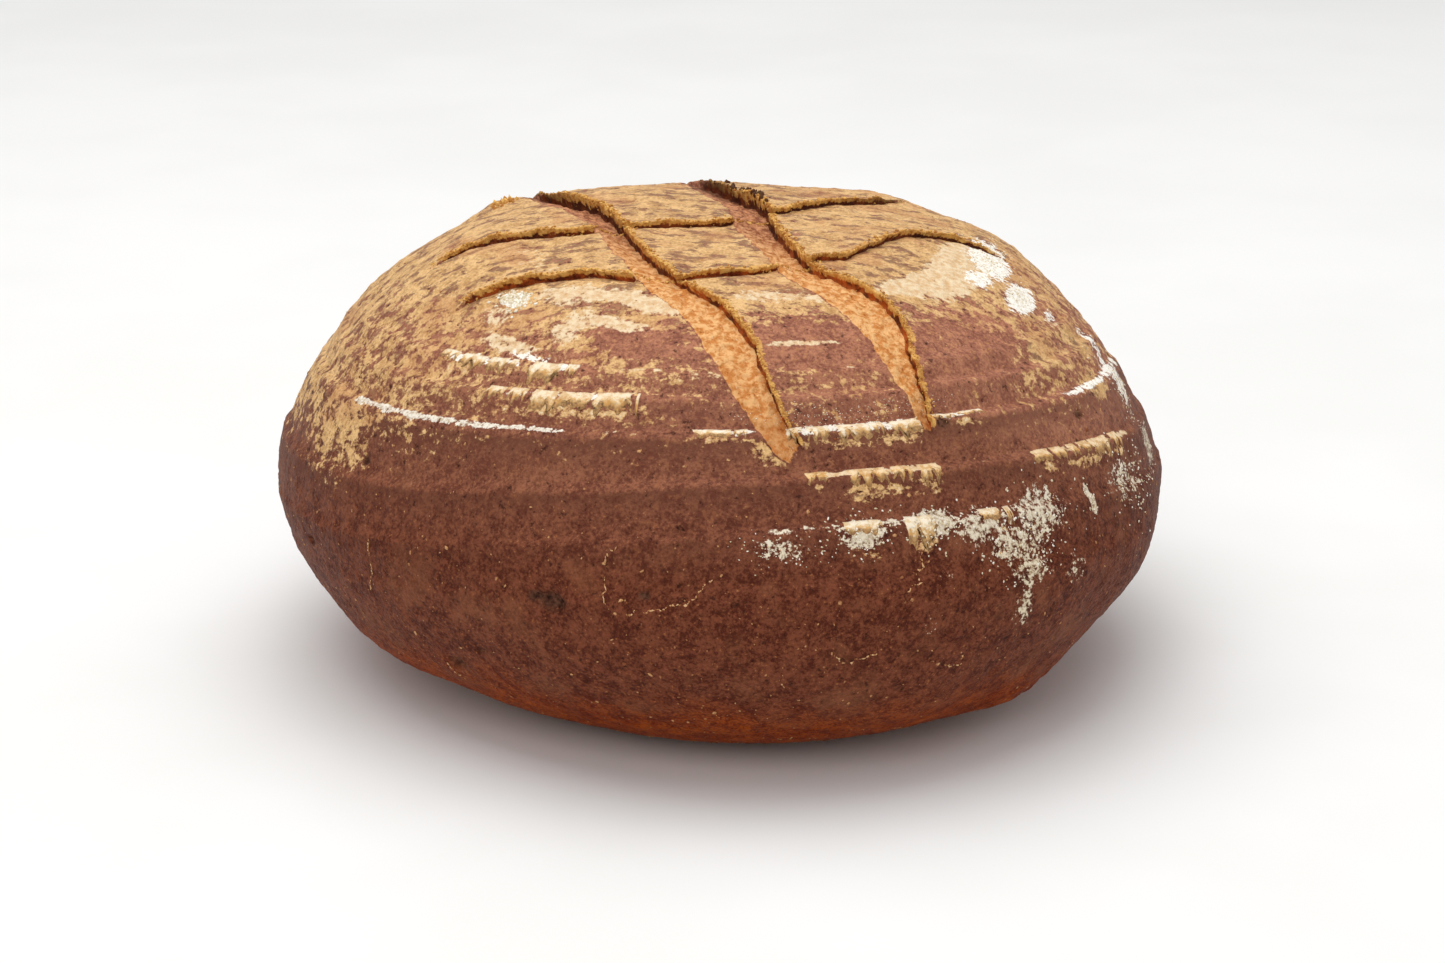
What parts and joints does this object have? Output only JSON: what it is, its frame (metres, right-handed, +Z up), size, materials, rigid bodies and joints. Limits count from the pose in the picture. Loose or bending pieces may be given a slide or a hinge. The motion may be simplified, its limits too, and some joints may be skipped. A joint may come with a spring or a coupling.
{
  "type": "sourdough loaf",
  "caption": "Round hearth loaf of sourdough with a flat base, basket coil ledges round its sides and crossed slashes opened on its crown.",
  "frame": {"origin": "middle of the loaf's plan box, on the surface that its flat base stands on", "axes": "+Z up through the crown; -Y towards the front, where the slashes run out; +X to the right seen from the front"},
  "size_m": [0.2554, 0.247, 0.1329],
  "materials": {
    "crust": "dry baked rye and wheat crust, mahogany brown with golden and floured patches, matt"
  },
  "bodies": {
    "root": {"loaf": "crust"}
  },
  "joints": []
}
